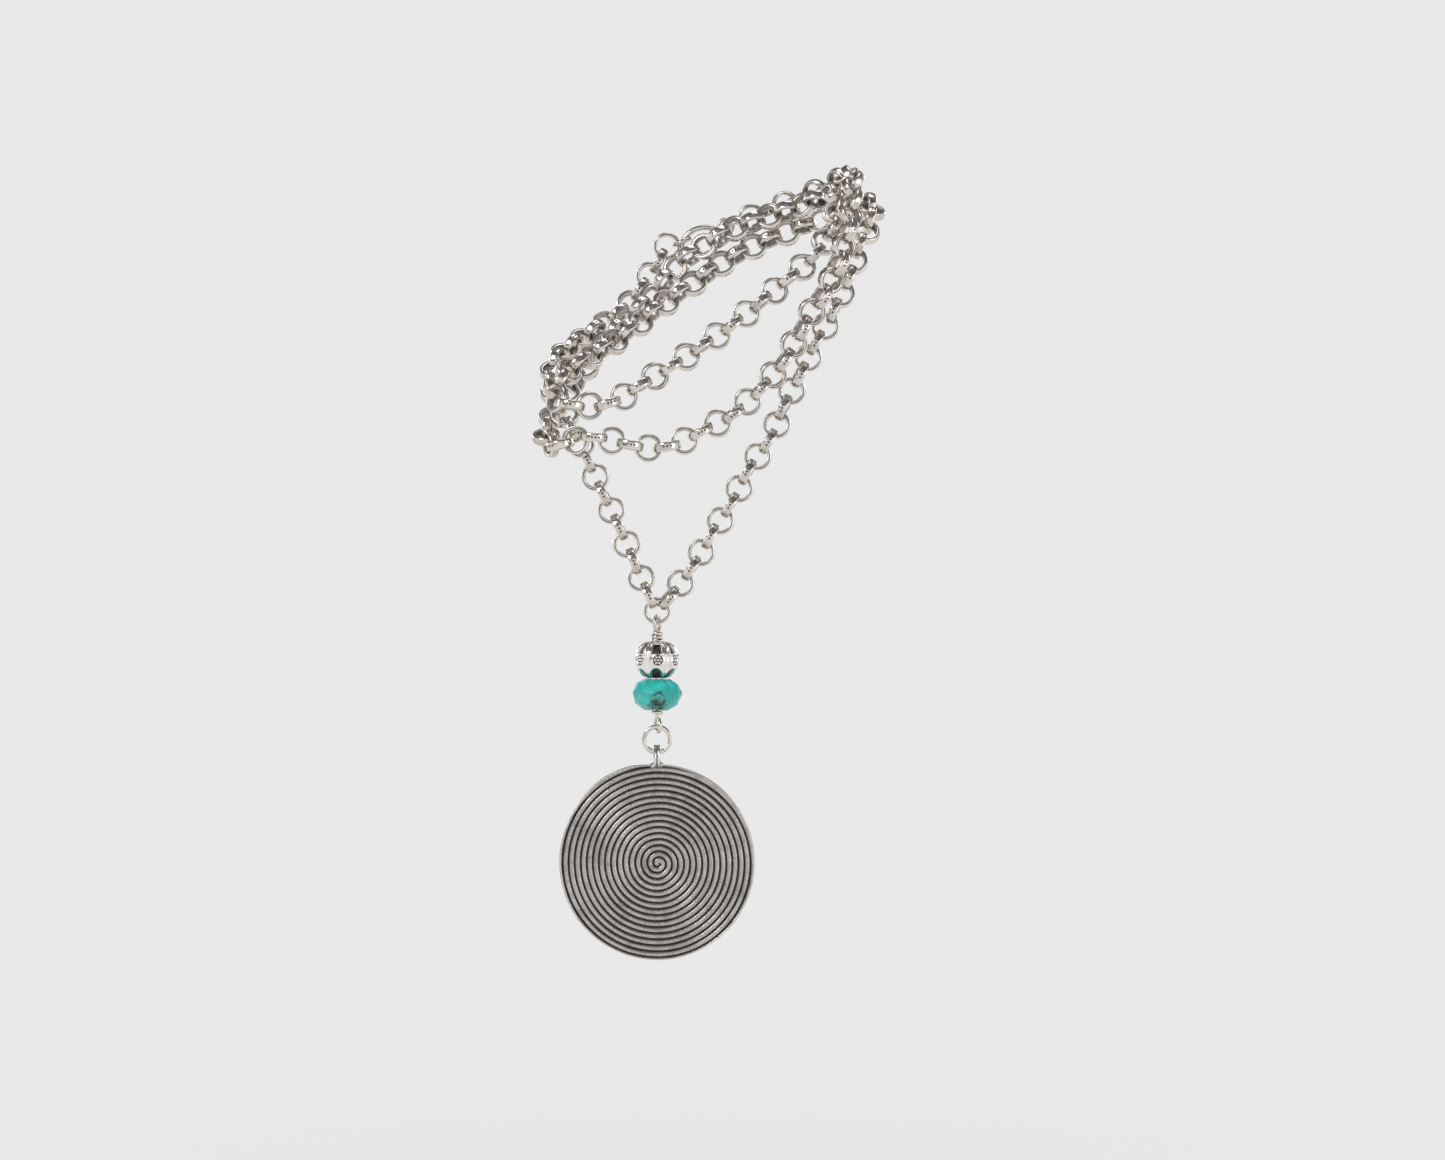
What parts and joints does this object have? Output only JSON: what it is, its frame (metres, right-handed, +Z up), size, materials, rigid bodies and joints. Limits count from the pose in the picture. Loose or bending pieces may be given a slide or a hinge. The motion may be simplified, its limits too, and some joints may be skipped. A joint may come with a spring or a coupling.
{
  "type": "pendant necklace",
  "caption": "Link-chain necklace in its worn, draped shape, with a lobster clasp, beads on a wire dangle and a flat spiral disc pendant.",
  "frame": {"origin": "the saddle between two of the wearer's fingers that carries the laps of chain", "axes": "+Z up, the pendant hangs down; -Y is the front, where the disc's spiral faces; +X to the viewer's right"},
  "size_m": [0.0676, 0.0398, 0.1551],
  "materials": {
    "chain_silver": "oxidised sterling silver, worn bright on the edges",
    "bright_silver": "polished silver wire with light tarnish",
    "bead_silver": "bright polished silver with blackened hollows",
    "disc_silver": "brushed ridges over a blackened spiral groove",
    "turquoise": "faceted and waxed, with brown matrix",
    "steel": "plain spring steel"
  },
  "bodies": {
    "chain": {"chain_run_1": "chain_silver", "chain_run_2": "chain_silver", "chain_run_3": "chain_silver", "clasp_body": "bright_silver", "clasp_pin": "steel", "clasp_spring": "steel", "clasp_ring": "chain_silver", "end_ring": "chain_silver"},
    "lever": {"clasp_lever": "bright_silver"},
    "front_strands": {"apex_link": "chain_silver", "link_left_01": "chain_silver", "link_left_02": "chain_silver", "link_left_03": "chain_silver", "link_left_04": "chain_silver", "link_left_05": "chain_silver", "link_left_06": "chain_silver", "link_left_07": "chain_silver", "link_left_08": "chain_silver", "link_left_09": "chain_silver", "link_right_01": "chain_silver", "link_right_02": "chain_silver", "link_right_03": "chain_silver", "link_right_04": "chain_silver", "link_right_05": "chain_silver", "link_right_06": "chain_silver", "link_right_07": "chain_silver", "link_right_08": "chain_silver", "link_right_09": "chain_silver", "link_right_10": "chain_silver", "link_right_11": "chain_silver", "link_right_12": "chain_silver", "link_right_13": "chain_silver", "link_right_14": "chain_silver", "link_right_15": "chain_silver", "link_right_16": "chain_silver"},
    "dangle": {"dangle_wire": "bright_silver", "stop_washer": "bright_silver"},
    "silver_bead": {"silver_bead": "bead_silver"},
    "turquoise_bead": {"turquoise_bead": "turquoise"},
    "joining_ring": {"jump_ring": "bright_silver"},
    "disc": {"disc_plate": "disc_silver", "bail_loop": "bright_silver"}
  },
  "joints": [
    {"name": "strands_swing", "type": "hinge", "parent": "chain", "child": "front_strands", "pos_m": [-0.05354, -0.013, -0.04787], "axis": [0.9132, 0, 0.4075], "range_deg": [-20, 25]},
    {"name": "dangle_swing", "type": "hinge", "parent": "front_strands", "child": "dangle", "pos_m": [-0.0394, -0.013, -0.08133], "axis": [1, 0, 0], "range_deg": [-45, 45]},
    {"name": "silver_bead_spin", "type": "hinge", "parent": "dangle", "child": "silver_bead", "pos_m": [-0.0394, -0.013, -0.08825], "axis": [0, 0, 1], "continuous": true},
    {"name": "turquoise_bead_spin", "type": "hinge", "parent": "dangle", "child": "turquoise_bead", "pos_m": [-0.0394, -0.013, -0.09495], "axis": [0, 0, 1], "continuous": true},
    {"name": "ring_swing", "type": "hinge", "parent": "dangle", "child": "joining_ring", "pos_m": [-0.0394, -0.013, -0.1023], "axis": [0, 1, 0], "range_deg": [-45, 45]},
    {"name": "disc_swing", "type": "hinge", "parent": "joining_ring", "child": "disc", "pos_m": [-0.0394, -0.013, -0.10625], "axis": [1, 0, 0], "range_deg": [-60, 60]},
    {"name": "lever_open", "type": "hinge", "parent": "chain", "child": "lever", "pos_m": [-0.02762, 0.0151, -0.00631], "axis": [0, 1, 0], "range_deg": [0, 18], "stiffness_Nm_per_rad": 0.002, "springref_deg": -17.19}
  ]
}
